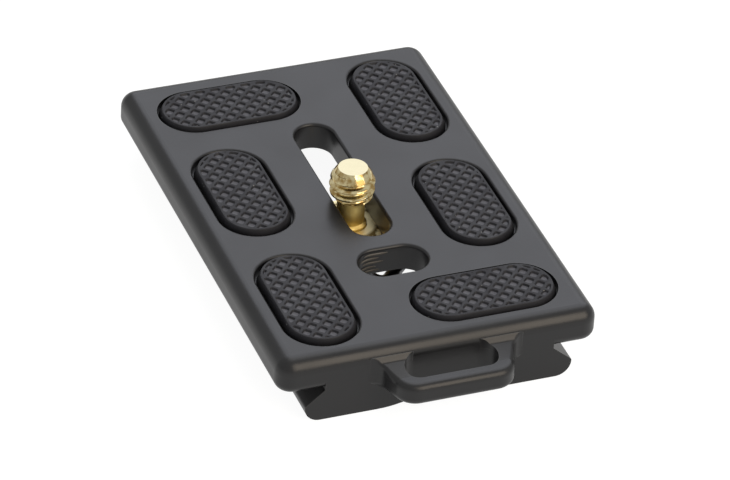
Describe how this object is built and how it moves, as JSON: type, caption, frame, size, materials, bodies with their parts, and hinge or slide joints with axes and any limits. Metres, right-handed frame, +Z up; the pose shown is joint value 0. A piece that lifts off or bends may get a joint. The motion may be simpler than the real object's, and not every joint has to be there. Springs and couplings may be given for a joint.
{
  "type": "tripod quick release plate",
  "caption": "Flat black camera plate with a dovetail underside, diamond-textured rubber pads, a sliding brass camera screw with a folding wire ring, and a strap loop at the front.",
  "frame": {"origin": "centre of the bounding box at the bottoms of the dovetail rails, with the strap loop counted in", "axes": "+X across the plate, +Y along it away from the strap loop, +Z up out of the padded face"},
  "size_m": [0.0454, 0.0744, 0.015],
  "materials": {
    "plate": "cast, satin black coating",
    "pads": "moulded, matt, rows of small square pits",
    "screw": "bright turned",
    "washer": "plain turned",
    "ring": "blackened wire"
  },
  "bodies": {
    "plate": {"plate_body": "plate", "pad_back_left": "pads", "pad_mid_left": "pads", "pad_front_left": "pads", "pad_back_right": "pads", "pad_mid_right": "pads", "pad_front_right": "pads"},
    "carrier": {"screw_washer": "washer"},
    "screw": {"camera_screw": "screw"},
    "ring": {"d_ring": "ring"}
  },
  "joints": [
    {"name": "screw_slide", "type": "slide", "parent": "plate", "child": "carrier", "axis": [0, 1, 0], "range_m": [-0.0064, 0.016]},
    {"name": "screw_turn", "type": "hinge", "parent": "carrier", "child": "screw", "pos_m": [-0.0004, 0.00235, 0.005], "axis": [0, 0, 1], "continuous": true},
    {"name": "ring_fold", "type": "hinge", "parent": "screw", "child": "ring", "pos_m": [-0.0004, 0.00235, 0.0024], "axis": [0.7071, 0.7071, 0], "range_deg": [-9.9, 170]}
  ]
}
